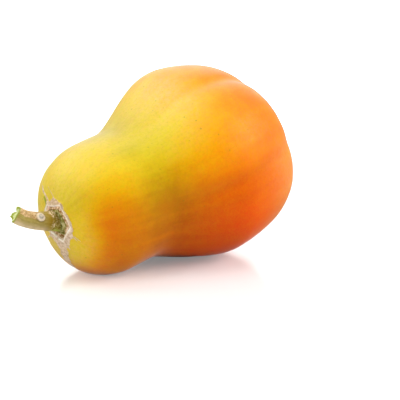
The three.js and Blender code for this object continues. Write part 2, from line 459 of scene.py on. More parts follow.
@dataclass(frozen=True)
class FruitForm:
    """The fruit's driving sizes, and the formulas that every surface on it is made from.

    Groove depths are shares of the radius at the neck, the belly and the tip. Past the neck each
    groove has its own share of them. A lobe's swelling is a share of the radius too.
    """

    length: float = 157.0
    neck: Oval = Oval(33.0, 39.0, 33.0, 88.0, 1.95, 2.6)
    belly: Oval = Oval(100.5, 52.8, 53.5, 56.5, 1.65, 2.4)
    waist_blend: float = 4.0
    bow: float = 2.6
    bow_top: float = 0.45
    pitch_deg: float = 11.3
    start_height: float = 34.5
    rest_forward: float = 99.0
    rest_side: float = 1.5
    groove_start_deg: float = 49.0
    groove_twist_deg: float = -19.0
    groove_drift_deg: tuple[float, ...] = (-3.0, -7.0, -15.0, -4.0, -8.0)
    drift_end: float = 0.45
    groove_rounding: float = 0.2
    groove_depths: tuple[float, float, float] = (0.022, 0.047, 0.04)
    groove_share: tuple[float, ...] = (1.0, 1.0, 1.0, 0.45, 0.7)
    neck_swell: tuple[float, ...] = (-0.105, 0.0, 0.015, 0.095, -0.005)
    belly_swell: tuple[float, ...] = (0.035, -0.055, 0.05, 0.025, 0.0)

    def mean_radius(self, along: Array) -> Array:
        """The lobeless radius: the two ovals added as powers, so the waist between is rounded."""
        neck = self.neck.radius_at(along) ** self.waist_blend
        belly = self.belly.radius_at(along) ** self.waist_blend
        return (neck + belly) ** (1 / self.waist_blend)

    def angle(self, lobe_place: Array, share: Array) -> Array:
        """The angle round the axis, in radians, of a place counted in lobes.

        It is the first groove's angle, plus the twist along the fruit, plus a fifth of a turn for
        each lobe, plus each groove's own drift, which is gone by mid-length.
        """
        fade = 1 - smooth(share, 0.0, self.drift_end)
        drift = carried_round(self.groove_drift_deg, lobe_place) * fade
        turn = self.groove_start_deg + self.groove_twist_deg * share
        return np.radians(turn + 360 / LOBES * lobe_place + drift)

    def crestward(self, lobe_place: Array) -> Array:
        """0 in the bottom of a groove and 1 on a lobe's crest: a sine with a rounded valley."""
        rounding = self.groove_rounding
        ridge = np.hypot(np.sin(np.pi * lobe_place), rounding) - rounding
        return ridge / (math.hypot(1, rounding) - rounding)

    def relief(self, lobe_place: Array, share: Array) -> Array:
        """The lobes' factor on the radius: 1, less the groove's depth, plus the lobe's swelling.

        Args:
            lobe_place: Place round the fruit, counted in lobes from the first groove.
            share: Place along the fruit, as a share of its length.

        Returns:
            The factor at each place.
        """
        neck, belly, tip = self.groove_depths
        depth = neck + (belly - neck) * smooth(share, 0.3, 0.65) + (tip - belly) * smooth(share, 0.75, 1.0)
        nearest = np.round(lobe_place).astype(int) % LOBES
        own = mix(1.0, np.asarray(self.groove_share)[nearest], smooth(share, 0.15, 0.45))
        swell = mix(
            carried_round(self.neck_swell, lobe_place - 0.5),
            carried_round(self.belly_swell, lobe_place - 0.5),
            smooth(share, 0.3, 0.6),
        )
        return 1 - depth * own * (1 - self.crestward(lobe_place)) + swell

    def sag(self, along: Array) -> Array:
        """How far the bowed axis hangs below a straight one: a parabola about its top."""
        return self.bow * 4 * (along / self.length - self.bow_top) ** 2

    def laid_down(self, along: Array, back: Array, up: Array, bowed_at: Array) -> Array:
        """Turns places in the fruit's own axis frame into the frame it lies in.

        Args:
            along: Distance along the axis from the stem end.
            back: Distance from the axis towards the back.
            up: Distance from the axis, upwards.
            bowed_at: Where along the axis the bow is taken.

        Returns:
            Points, with three numbers in a new last axis.
        """
        pitch = math.radians(self.pitch_deg)
        bowed = up - self.sag(np.asarray(bowed_at, dtype=float))
        x = along * math.cos(pitch) - bowed * math.sin(pitch) - self.rest_forward
        z = along * math.sin(pitch) + bowed * math.cos(pitch) + self.start_height
        return np.stack(np.broadcast_arrays(x, back - self.rest_side, z), axis=-1)


@dataclass(frozen=True)
class StemPit:
    """The five-sided pit at the stem end, with its raised lip.

    Each corner has its own reach, as a share, and its own turn. The pocket has a place and a width
    in lobes, and a depth. The pit shapes the skin as far out as its influence.
    """

    reach: float = 9.8
    depth: float = 0.9
    aside: float = -0.8
    rise: float = 2.9
    wall_start: float = 7.9
    lip_height: float = 0.6
    influence: float = 24.0
    corners: float = 0.85
    corner_reach: tuple[float, ...] = (0.91, 0.9, 0.95, 0.95, 0.72)
    corner_turn_deg: tuple[float, ...] = (0.0, 0.0, 12.0, -8.0, -28.0)
    pocket: tuple[float, float, float] = (3.0, 0.4, 1.6)

    def depth_at(self, reach: Array, lobe_place: Array) -> Array:
        """The floor's depth: level, with a pocket in its lowest corner."""
        place, wide, deep = self.pocket
        return self.depth + deep * bell((lobe_place - place) / wide) * bell((reach - 8.0) / 2.0)

    def lip_at(self, reach: Array) -> Array:
        """The lip's height: a steep rise at the mouth and a long slope outside it."""
        rise = smooth(reach, self.reach - 0.1, self.reach + 0.8)
        return self.lip_height * rise * (1 - smooth(reach, self.reach + 0.9, self.reach + 3.4))


@dataclass(frozen=True)
class BlossomScar:
    """The blossom end: a shallow dimple round a small dry scar."""

    dimple_reach: float = 8.0
    dimple_depth: float = 0.9
    scar_reach: float = 1.8
    scar_height: float = 0.5

    def lift_at(self, reach: Array) -> Array:
        """How far the skin is raised along the axis: a dimple, less a rounded stub within it."""
        dimple = self.dimple_depth * (1 - smooth(reach, 2.4, self.dimple_reach))
        stub = (self.dimple_depth + self.scar_height) * (1 - smooth(reach, 1.1, self.scar_reach + 0.9))
        return stub - dimple


@dataclass(frozen=True)
class SkinPlaces:
    """Where each point of the skin is on the fruit, before it is laid down."""

    along: Array
    back: Array
    up: Array
    bowed_at: Array
    lobe_place: Array
    travelled: Array
    mouth: float

    @property
    def out(self) -> Array:
        """The distance over the skin from the pit's mouth, below 0 inside the pit."""
        return self.travelled - self.mouth

    @property
    def radius(self) -> Array:
        """The distance from the axis."""
        return np.hypot(self.back, self.up)

    def lobes_from(self, place: Array | float) -> Array:
        """How far round each point is from a place, in lobes, the short way."""
        return (self.lobe_place - place + LOBES / 2) % LOBES - LOBES / 2

    def width_of(self, lobes: Array) -> Array:
        """How far over the skin a number of lobes reaches."""
        return lobes * 2 * np.pi / LOBES * self.radius

    def grain(self, stretch: float) -> Array:
        """Coordinates for streaks that run with the lobes: round, round, and along squeezed."""
        turn = self.lobe_place * 2 * np.pi / LOBES
        return np.stack([50 * np.cos(turn), 50 * np.sin(turn), self.travelled / stretch], axis=-1)


@dataclass(frozen=True)
class Streak:
    """A long mark near the stem end that runs straight over the unrolled skin.

    Each pair says how far out from the pit's mouth, at which place round in lobes and how wide
    the mark is, where it starts and where it ends.
    """

    out: Pair
    place: Pair
    half_width: Pair
    fade: float = 2.0

    def on(self, places: SkinPlaces, ragged: Array | float = 0.0) -> Array:
        """How much of the mark there is at each point.

        A point's distance from the mark's middle line, as a share of the mark's half width there,
        falls from 1 to 0 over the mark's edge, and the mark fades towards both ends.

        Args:
            places: Where the points are.
            ragged: How far the edge is moved, as a share of the half width.

        Returns:
            1 on the mark and 0 off it.
        """
        share = np.clip((places.out - self.out[0]) / (self.out[1] - self.out[0]), 0.0, 1.0)
        across = places.width_of(np.abs(places.lobes_from(mix(*self.place, share))))
        edge = 1 - smooth(across / mix(*self.half_width, share) + ragged, 0.6, 1.25)
        start = smooth(places.out, self.out[0] - self.fade, self.out[0])
        return edge * start * (1 - smooth(places.out, self.out[1] - self.fade, self.out[1]))


@dataclass(frozen=True)
class Patch:
    """A soft patch of colour on the skin, with no edge.

    It has a middle, along the axis in millimetres and round in lobes, a reach in each of the two,
    and a strength, which is below 0 where there is less.
    """

    along: float
    place: float
    long: float
    wide: float
    strength: float

    def on(self, places: SkinPlaces) -> Array:
        """The patch's strength at each point, falling off as a bell both along and across."""
        off = places.lobes_from(self.place) / self.wide
        return self.strength * bell(np.hypot((places.along - self.along) / self.long, off))


@dataclass(frozen=True)
class Ripening:
    """How ripe the skin is from place to place: 0 is yellow and 1 is orange-red.

    The flank that hung in the sun is orange along the whole fruit and reddest over the belly. The
    shady rest is yellow at the neck and turns orange only over the belly. Soft patches make both
    uneven. Green is left round the stem pit and in a belt round the waist, and low on the waist's
    front and along the second groove it also stands for painted shade. Bloom is pale, and over the
    upper side it is partly a painted sheen.
    """

    # Round the fruit, in lobes: the flank's start, full strength, fading and end.
    sunny_flank: tuple[float, float, float, float] = (0.8, 2.4, 3.0, 4.6)
    # The shady side's ripeness at the neck and past the belly, and where it turns.
    shady: Pair = (0.05, 0.7)
    shady_turns: Pair = (60.0, 130.0)
    # The flank's ripeness, what the heart of the belly adds, and the heart's middle and reach.
    sunny: Pair = (0.65, 0.28)
    heart: Pair = (90.0, 40.0)
    patches: tuple[Patch, ...] = (
        # riper low on the neck, yellower above it and up the first groove
        Patch(15.0, 1.9, 15.0, 0.4, 0.15), Patch(40.0, 1.5, 15.0, 0.3, -0.1),
        Patch(60.0, 1.2, 20.0, 0.2, -0.2),
        # riper on the belly's upper crest, yellower on its front crest, riper at its end
        Patch(90.0, 0.7, 20.0, 0.35, 0.15), Patch(105.0, 1.65, 20.0, 0.2, -0.1),
        Patch(130.0, 1.7, 15.0, 0.5, 0.05),
    )
    green_and_shade_patches: tuple[Patch, ...] = (
        # round the stem pit
        Patch(3.0, 0.5, 8.0, 0.6, 0.45), Patch(5.0, 1.3, 8.0, 0.5, 0.4),
        Patch(5.0, 3.7, 8.0, 0.6, 0.3), Patch(3.0, 4.8, 8.0, 0.4, 0.45),
        # the belt round the waist, with a streak towards the neck, partly painted shade low on its front
        Patch(50.0, 0.55, 18.0, 0.5, 0.75), Patch(40.0, 1.15, 12.0, 0.15, 0.35),
        Patch(50.0, 1.65, 15.0, 0.4, 0.6), Patch(45.0, 2.15, 22.0, 0.5, 0.9),
        # along the second groove, partly painted shade, and the belt's hidden side
        Patch(95.0, 2.05, 30.0, 0.15, 0.4), Patch(45.0, 3.3, 15.0, 0.6, 0.45),
        Patch(50.0, 4.3, 15.0, 0.5, 0.4),
    )
    pale_and_sheen_patches: tuple[Patch, ...] = (
        # below the stem pit, over the belly's top, where it is partly a painted sheen, and over its front
        # crest and near its end
        Patch(10.0, 3.7, 12.0, 0.8, 0.2), Patch(85.0, 0.8, 15.0, 0.35, 0.2),
        Patch(110.0, 1.6, 15.0, 0.2, 0.1), Patch(135.0, 2.3, 18.0, 0.6, 0.15),
        # along the neck's top, partly a painted sheen, and less on its front
        Patch(25.0, 0.5, 15.0, 0.3, 0.1), Patch(35.0, 1.5, 30.0, 0.5, -0.1),
    )

    def ripe(self, places: SkinPlaces) -> Array:
        """The ripeness: the shady side's and the sunny flank's, joined round the fruit.

        Args:
            places: Where the points are.

        Returns:
            Ripeness at each point, about 0 to 1.
        """
        rise, full, fall, gone = self.sunny_flank
        flank = smooth(places.lobe_place, rise, full) * (1 - smooth(places.lobe_place, fall, gone))
        flank = flank * smooth(places.along, 1.0, 14.0)
        shady = mix(*self.shady, smooth(places.along, *self.shady_turns))
        heart = bell((places.along - self.heart[0]) / self.heart[1])
        ripe = mix(shady, self.sunny[0] + self.sunny[1] * heart, flank)
        return ripe + sum(patch.on(places) for patch in self.patches)

    def green(self, places: SkinPlaces) -> Array:
        """How much green is left under the ripe colour, in soft patches, which on the waist's front and
        along the second groove are partly painted shade.
        """
        return np.clip(sum(patch.on(places) for patch in self.green_and_shade_patches), 0.0, 1.0)

    def pale(self, places: SkinPlaces) -> Array:
        """How much pale bloom there is, partly a painted sheen over the upper side: a little where the
        skin is unripe, and soft patches.
        """
        unripe = 0.07 * (1 - smooth(self.ripe(places), 0.25, 0.6))
        return np.clip(unripe + sum(patch.on(places) for patch in self.pale_and_sheen_patches), 0.0, 1.0)


@dataclass(frozen=True)
class CorkMarks:
    """The dry corky skin round the stem pit, and the scratches and streaks that run from it.

    The collar's width, and how far its cork tone is shifted darker or paler, are given at even steps
    round the fruit. The bract's stub has a place out from the pit's mouth and round in lobes, and a
    reach.
    """

    collar: tuple[float, ...] = (2.9, 5.0, 2.3, 1.9, 2.3, 4.4, 4.6, 6.8, 5.6, 2.6)
    streak: Streak = Streak((3.0, 24.0), (3.28, 3.26), (4.6, 2.2), 5.0)
    lines: tuple[Streak, ...] = (
        Streak((3.0, 22.0), (0.12, -0.05), (1.2, 0.8), 4.0),
        Streak((3.5, 17.0), (0.6, 0.2), (0.6, 0.3)),
        Streak((4.0, 8.6), (2.37, 2.44), (0.4, 0.25)),
        Streak((5.5, 10.0), (2.33, 2.37), (0.3, 0.25)),
        Streak((5.0, 6.4), (2.95, 2.95), (0.5, 0.4), 0.6),
        Streak((3.0, 12.0), (4.1, 4.0), (0.5, 0.3)),
        Streak((19.0, 26.0), (3.2, 3.3), (0.5, 0.3)),
    )
    slit: Streak = Streak((2.4, 9.6), (-0.06, -0.04), (1.1, 0.7))
    bract: tuple[float, float, float] = (-1.1, 0.2, 1.6)
    # the cork tone's shift at each lobe: darker over the first two lobes, paler over the third
    bleached: tuple[float, ...] = (-0.06, -0.08, 0.06, 0.02, 0.0)

    def cork(self, places: SkinPlaces, ragged: Array) -> Array:
        """Where the skin is corky: the collar, the wide streak below it and the thin lines."""
        past = places.out - carried_round(self.collar, places.lobe_place) + 0.6 * ragged
        collar = 1 - smooth(past, -0.9, 0.9)
        lines = np.max([line.on(places) for line in self.lines], axis=0)
        streak = self.streak.on(places, 0.2 * ragged)
        return np.clip(np.max([collar, streak, 0.7 * lines], axis=0), 0, 1)

    def lip(self, places: SkinPlaces) -> Array:
        """The crest of the lip: pale dry cork, with a painted highlight along its edge."""
        return bell((places.out - 0.5) / 0.5)

    def stub(self, places: SkinPlaces) -> Array:
        """A small stub left by a bract on the rim of the pit, 1 at its middle."""
        out, place, reach = self.bract
        across = places.width_of(places.lobes_from(place))
        return 1 - smooth(np.hypot(places.out - out, across) / reach, 0.3, 1.1)


@dataclass(frozen=True)
class SkinFinish:
    """Waxy satin skin, coloured by its ripeness, with specks, and dry cork round the stem pit."""

    ripeness: Stops = (
        (0.0, (0.84, 0.62, 0.012)), (0.2, (0.9, 0.57, 0.006)), (0.4, (0.94, 0.46, 0.001)),
        (0.6, (0.96, 0.33, 0.0)), (0.8, (0.96, 0.19, 0.0)), (1.0, (0.95, 0.07, 0.0)),
    )
    # olive left in the skin, multiplied in; on the waist's front and along the second groove it is partly
    # painted shade
    green_and_shade_tint: Colour = (0.6, 0.66, 0.12)
    # pale bloom, which over the upper side is partly a painted sheen
    pale_and_sheen_tone: Colour = (0.95, 0.72, 0.42)
    fleck: Colour = (0.6, 0.64, 0.3)
    lenticel: Colour = (0.22, 0.2, 0.02)
    cork_tones: Stops = (
        (0.28, (0.42, 0.27, 0.14)), (0.46, (0.66, 0.48, 0.31)), (0.7, (0.94, 0.76, 0.58)),
        
    )
    # pale dry cork, brightened into a painted highlight along the lip's crest
    lip_crest_and_highlight_tone: Colour = (1.0, 0.93, 0.8)
    # the stem pit's brown-red and cream wall and dark green floor, both darkened partly as painted shade
    # of the recess
    pit_wall_and_shade_tones: Stops = ((0.36, (0.3, 0.12, 0.04)), (0.5, (0.55, 0.36, 0.17)), (0.66, (0.95, 0.75, 0.5)))
    pit_floor_and_shade_tones: Stops = (
        (0.36, (0.12, 0.1, 0.012)), (0.5, (0.26, 0.23, 0.05)), (0.66, (0.6, 0.54, 0.26)),
        
    )
    slit_tone: Colour = (0.22, 0.27, 0.03)
    stub_tone: Colour = (0.95, 0.66, 0.5)
    roughness: float = 0.5

    def skin(self, n: Nodes) -> Socket:
        """The skin's colour without cork.

        Bands, clouds, mottle and grit shift the ripeness, most where it is unripe, and a ramp turns
        it into colour. Green is multiplied in where it is left, and on the waist's front and along the
        second groove it is partly painted shade. Pale bloom lies over both, partly as a painted sheen
        over the upper side, and olive wisps, flecks and brown lenticels are scattered over the unripe
        skin.
        """
        where, grain = n.place(), n.directions("grain")
        bands, clouds = n.noise(grain, 7.0), n.noise(where, 8.0, 3.0, 0.6)
        streaks, mottle = n.swing(grain, 2.6), n.swing(where, 2.2)
        grit = n.swing(where, 0.9, 2.0, 0.7)
        ripe = n.mark("ripe")
        unripe = (1.25 - ripe).held()
        wander = streaks * 0.06 + (bands - 0.5) * 0.28 + (clouds - 0.5) * 0.32 + mottle * 0.22
        colour = n.ramp((ripe + wander * unripe + grit * 0.22).held(), self.ripeness)
        # green left in the skin, and painted shade on the waist's front and along the second groove
        left = n.mark("green") * (0.2 + clouds * 0.6 + bands * 1.0)
        colour = n.blend(left.held(), colour, self.green_and_shade_tint, Mixing.MULTIPLY)
        # pale bloom, partly a painted sheen over the upper side
        bloom = n.mark("pale") * (1.0 + mottle * 1.8 + grit * 1.4) + mottle * unripe * 0.1
        colour = n.blend(bloom.held(), colour, self.pale_and_sheen_tone)
        wisps = n.noise(grain, 2.0, 3.0, 0.7) * 0.3 + n.noise(where, 1.4, 3.0, 0.7) * 0.7
        colour = n.blend(wisps.rise(0.42, 0.66) * unripe * 0.24, colour, self.fleck, Mixing.MULTIPLY)
        flecks = n.spots(where, 1.9, 0.45, 0.6)
        colour = n.blend(flecks * unripe * 0.4, colour, self.fleck, Mixing.MULTIPLY)
        lenticels = n.spots(where, 4.0, 0.66, 0.65)
        return n.blend(lenticels * unripe * 0.45, colour, self.lenticel)

    def made(self) -> bpy.types.Material:
        """Makes the material."""
        n = Nodes("papaya_skin")
        where = n.place()
        cork = n.mark("cork")
        grit = n.noise(where, 1.3, 4.0, 0.65)
        ragged = (cork + (grit - 0.5) * 0.5).rise(0.32, 0.62)
        # the cork's tones, shifted darker or paler by lobe
        tones = n.ramp(n.noise(where, 1.7, 4.0, 0.7) + n.mark("bleached"), self.cork_tones)
        colour = n.blend(ragged, self.skin(n), tones)
        # the lip's crest: pale cork and a painted highlight along its edge
        crest = n.mark("lip") * n.noise(where, 2.0, 2.0).rise(0.2, 0.5)
        colour = n.blend(crest, colour, self.lip_crest_and_highlight_tone)
        # the pit's wall: brown-red tissue, partly painted shade inside the pit
        wall = n.ramp(n.noise(where, 1.3, 3.0), self.pit_wall_and_shade_tones)
        colour = n.blend(n.mark("inside"), colour, wall)
        # the pit's floor: dark green tissue, darkened partly as painted shade of its depth
        floor = n.ramp(n.noise(where, 2.2, 3.0), self.pit_floor_and_shade_tones)
        colour = n.blend((n.mark("deep") + (grit - 0.5) * 0.5).rise(0.3, 0.7), colour, floor)
        colour = n.blend(n.mark("slit") * 0.85, colour, self.slit_tone)
        colour = n.blend(n.mark("stub") * 0.8, colour, self.stub_tone)
        dry = n.maths("MAXIMUM", ragged, n.mark("inside"))
        unripe = (1.0 - n.mark("ripe")).held()
        fine = n.noise(where, 0.7, 2.0)
        height = fine * (0.12 + dry * 0.6) + grit * dry * 0.8
        return n.finish(**{
            "Base Color": colour,
            "Roughness": self.roughness + unripe * 0.12 + (fine - 0.5) * 0.08 + dry * 0.4,
            "Normal": n.bumped(height, 0.12),
            "Specular IOR Level": 0.25,
            "Specular Tint": (1.0, 0.97, 0.5, 1.0),
            "Sheen Weight": 0.45,
            "Sheen Roughness": 0.25,
            "Subsurface Weight": 0.08,
            "Subsurface Radius": (1.0, 0.35, 0.08),
            "Subsurface Scale": 0.004,
        })


@dataclass
class PapayaFruit:
    """The fruit's body: one closed skin from the stem pit's floor to the blossom scar."""

    form: FruitForm = field(default_factory=FruitForm)
    pit: StemPit = field(default_factory=StemPit)
    blossom: BlossomScar = field(default_factory=BlossomScar)
    ripening: Ripening = field(default_factory=Ripening)
    cork_marks: CorkMarks = field(default_factory=CorkMarks)
    finish: SkinFinish = field(default_factory=SkinFinish)
    columns: int = 70 * LOBES
    skin_rows: int = 178
    broad_waves: float = 0.22
    fine_waves: float = 0.05
    crease_depths: tuple[float, ...] = (0.7, 0.9, 1.1, 0.6, 0.8)
    crease_width: float = 4.5
    cork_roughness: float = 0.14
    cork_rise: float = 0.22
    lip_waves: float = 0.16
    wall_wrinkles: float = 0.22
    stub_height: float = 1.4
    slit_depth: float = 0.35

    def pit_rows(self) -> Array:
        """Reaches from the axis of the rows in and round the pit, closest at its wall and lip."""
        parts = [(1.5, 5.0, 3), (5.5, 7.5, 8), (7.7, 13.4, 40), (13.8, 23.5, 14)]
        return np.concatenate([np.linspace(*part) for part in parts])

    def skin_places(self) -> Array:
        """Places along the axis that are evenly spaced over the skin between pit and dimple."""
        start = self.form.neck.stem_end(np.array(self.pit.influence))
        end = self.form.belly.far_end(np.array(self.blossom.dimple_reach))
        fine = start + (end - start) * (0.5 - 0.5 * np.cos(np.linspace(0, np.pi, 2000)))
        steps = np.hypot(np.diff(fine), np.diff(self.form.mean_radius(fine)))
        travelled = np.concatenate([[0.0], np.cumsum(steps)])
        return np.interp(np.linspace(0, travelled[-1], self.skin_rows), travelled, fine)

    def pit_surface(self, lobe_place: Array) -> tuple[Array, ...]:
        """The rows in and round the pit, as distances along, back, up and where the bow is taken.

        A row's reach is stretched to five corners near the mouth. Inside, the place along the
        axis is the pit's depth. Outside, it is where the skin would be, less the lip's height.
        """
        reach = self.pit_rows()[:, None]
        form, pit = self.form, self.pit
        to_mouth = smooth(reach, 2.0, pit.reach)
        influence = 1 - smooth(reach, 12.0, pit.influence)
        from_side = (lobe_place % 1 - 0.5) * 2 * np.pi / LOBES
        corners = 1 + pit.corners * to_mouth * influence * (1 / np.cos(from_side) - 1)
        corners = corners * mix(1.0, carried_round(pit.corner_reach, lobe_place), influence)
        share = form.neck.stem_end(reach) / form.length
        relief = form.relief(lobe_place, share)
        radius = reach * corners * mix(1.0, relief, to_mouth)
        turn = carried_round(pit.corner_turn_deg, lobe_place) * influence
        angle = form.angle(lobe_place, share) + np.radians(turn)
        back = radius * np.cos(angle) + pit.aside * influence
        up = radius * np.sin(angle) + pit.rise * influence
        skin = form.neck.stem_end(np.hypot(back, up) / relief)
        outside = smooth(reach, pit.wall_start, pit.reach + 0.1)
        along = mix(pit.depth_at(reach, lobe_place), skin - pit.lip_at(reach), outside)
        return along, back, up, mix(0.0, skin, to_mouth)

    def skin_surface(self, along: Array, radius: Array, lobe_place: Array) -> tuple[Array, ...]:
        """Rows of plain skin: the mean radius times the lobes' relief, turned to its angle."""
        share = along / self.form.length
        reach = radius * self.form.relief(lobe_place, share)
        angle = self.form.angle(lobe_place, share)
        return along, reach * np.cos(angle), reach * np.sin(angle), along

    def grid(self) -> SkinPlaces:
        """All the rows, as distances in the fruit's own axis frame."""
        lobe_place = (np.arange(self.columns) / self.columns * LOBES)[None, :]
        places = self.skin_places()[:, None]
        tip_reach = np.linspace(self.blossom.dimple_reach - 0.7, 0.35, 18)[:, None]
        tip_along = self.form.belly.far_end(tip_reach)
        blocks = [
            self.pit_surface(lobe_place),
            self.skin_surface(places, self.form.mean_radius(places), lobe_place),
            self.skin_surface(tip_along, tip_reach, lobe_place),
        ]
        rows = sum(len(np.atleast_2d(block[1])) for block in blocks)
        shape = (rows, self.columns)
        along, back, up, bowed_at = (
            np.vstack([np.broadcast_to(block[i], block[1].shape) for block in blocks]) for i in range(4)
        )
        along[-len(tip_reach):] += self.blossom.lift_at(tip_reach)
        profile_along = along.mean(axis=1)
        profile_out = np.hypot(back, up).mean(axis=1)
        steps = np.hypot(np.diff(profile_along), np.diff(profile_out))
        travelled = np.concatenate([[profile_out[0]], profile_out[0] + np.cumsum(steps)])
        return SkinPlaces(
            along, back, up, bowed_at, np.broadcast_to(lobe_place, shape),
            np.broadcast_to(travelled[:, None], shape), self.mouth_travel(travelled),
        )

    def mouth_travel(self, travelled: Array) -> float:
        """How far along the skin the pit's mouth is."""
        rows = self.pit_rows()
        return float(np.interp(self.pit.reach, rows, travelled[: rows.size]))

    def laid_skin(self, places: SkinPlaces) -> ClosedSkin:
        """The smooth skin, laid down but not yet pressed flat where it rests."""
        form = self.form
        rings = form.laid_down(places.along, places.back, places.up, places.bowed_at)
        first = form.laid_down(self.pit.depth, self.pit.aside, self.pit.rise, 0.0)
        tip = form.length + self.blossom.scar_height
        return ClosedSkin(first, rings, form.laid_down(tip, 0.0, 0.0, tip))

    def height(self, places: SkinPlaces, points: Array, cork: Array) -> Array:
        """How far the real skin stands off the smooth one.

        Broad slow waves and smaller ones along the grain cover the skin, which is creased along
        the grooves. Cork is raised and rough, the lip is uneven, the pit's wall is wrinkled, and a
        bract's stub stands on the rim.

        Args:
            places: Where the points are on the fruit.
            points: Where they are laid down.
            cork: Where the skin is corky.

        Returns:
            Heights in millimetres.
        """
        free = smooth(places.out, 2.0, 14.0)
        grain = places.grain(6.0)
        broad = self.broad_waves * Ripples(46.0, seed=3).at(points)
        skin = broad + self.fine_waves * Ripples(11.0, seed=5).at(grain)
        rough = 0.6 * Ripples(1.9, 24, 7).at(points) + 0.4 * Ripples(0.9, 24, 11).at(points)
        lip = self.lip_waves * bell((places.out - 0.9) / 1.1) * Ripples(3.2, seed=13).at(points)
        wall = self.wall_wrinkles * bell(places.out + 1.3) * Ripples(1.6, 20, seed=17).at(points)
        stub = self.stub_height * self.cork_marks.stub(places) * (1 + 0.15 * rough)
        share = places.along / self.form.length
        across = places.width_of(places.lobe_place - np.round(places.lobe_place))
        crease = carried_round(self.crease_depths, places.lobe_place) * bell(across / self.crease_width)
        crease = crease * smooth(share, 0.25, 0.6) * (1 - smooth(share, 0.86, 0.98))
        outside = smooth(places.out, -0.6, 0.2)
        corky = cork * outside * (self.cork_rise + self.cork_roughness * rough)
        return skin * free - crease + corky + lip + wall + stub

    def built(self) -> bpy.types.Object:
        """Makes and dresses the fruit.

        Returns:
            The piece.
        """
        places = self.grid()
        skin = self.laid_skin(places)
        cork = self.cork_marks.cork(places, Ripples(4.5, seed=19).at(skin.rings))
        slit = self.cork_marks.slit.on(places)
        height = self.height(places, skin.rings, cork) - self.slit_depth * slit
        skin.rings = skin.rings + skin.outward() * height[..., None]
        skin.rings[..., 2] = np.maximum(skin.rings[..., 2], 0.0)
        skin.marks = {
            "grain": places.grain(8.0) * METRES,
            "ripe": self.ripening.ripe(places),
            # green left in the skin, partly painted shade on the waist's front and along the second groove
            "green": self.ripening.green(places),
            # pale bloom, partly a painted sheen over the upper side
            "pale": self.ripening.pale(places),
            "cork": cork,
            # the lip's crest, pale cork with a painted highlight
            "lip": self.cork_marks.lip(places),
            "bleached": carried_round(self.cork_marks.bleached, places.lobe_place),
            # the pit's wall and floor, where the colour is partly painted shade of the recess
            "inside": 1 - smooth(places.out, -0.9, -0.1),
            "deep": 1 - smooth(places.out, -2.3, -1.3),
            "slit": slit,
            "stub": self.cork_marks.stub(places),
        }
        return skin.made("papaya_skin", self.finish.made())


# ---- The stalk ----


@dataclass(frozen=True)
class StalkForm:
    """The stalk's driving sizes: its path, its thickness and the marks on it.

    The path's control points are distances along, back and up in the fruit's own axis frame. The
    knob is the leaf scar. Directions round the stalk run from its top over its back.
    """

    path: tuple[Place, ...] = (
        (6.5, 1.5, 0.5), (-3.6, 1.5, 4.1), (-16.7, -0.3, 8.2), (-21.7, 3.5, 14.2)
    )
    radius: float = 4.55
    foot_radius: float = 6.0
    flare: Pair = (0.05, 0.8)
    angles: int = 5
    angle_height: float = 0.16
    knob_at: float = 0.6
    knob_deg: float = 304.0
    knob_reach: float = 2.3
    knob_stretch: float = 1.2
    knob_height: float = 0.8
    dish: float = 0.5
    rim_length: float = 0.3
    raggedness: float = 0.08
    tears: tuple[Place, ...] = (
        (88.0, 26.0, 0.9), (109.0, 12.0, 1.0), (56.0, 12.0, -0.6), (20.0, 34.0, 0.9),
        (140.0, 24.0, -1.1), (180.0, 100.0, -0.5)
    )
    fibre_height: float = 0.07
    bark_rise: float = 0.16
    upper_deg: float = 330.0
    under_deg: float = 212.0
    grain_stretch: float = 28.0

    def radius_at(self, share: Array, around: Array) -> Array:
        """The body's radius: it slims from the foot, and has five soft angles near it."""
        slimming = smooth(share, *self.flare)
        angled = self.angle_height * (1 - smooth(share, 0.3, 0.6)) * smooth(share, 0.1, 0.2)
        ridges = angled * (np.cos(self.angles * around) - 1)
        return mix(self.foot_radius, self.radius, slimming) + ridges

    def rim_at(self, around: Array) -> Array:
        """How far the torn rim stands out along the stalk: small waves, a flap and wide notches.

        Each tear has a middle and a half width in degrees round, and a length that is below 0
        for a notch.
        """
        waves = np.sin(3 * around + 1) + 0.6 * np.sin(7 * around + 2) + 0.7 * np.sin(17 * around)
        rim = self.rim_length + self.raggedness * waves
        for middle, half_width, length in self.tears:
            off = np.abs(turned(around, middle))
            rim = rim + length * (1 - smooth(off, 0.15 * half_width, half_width))
        return rim


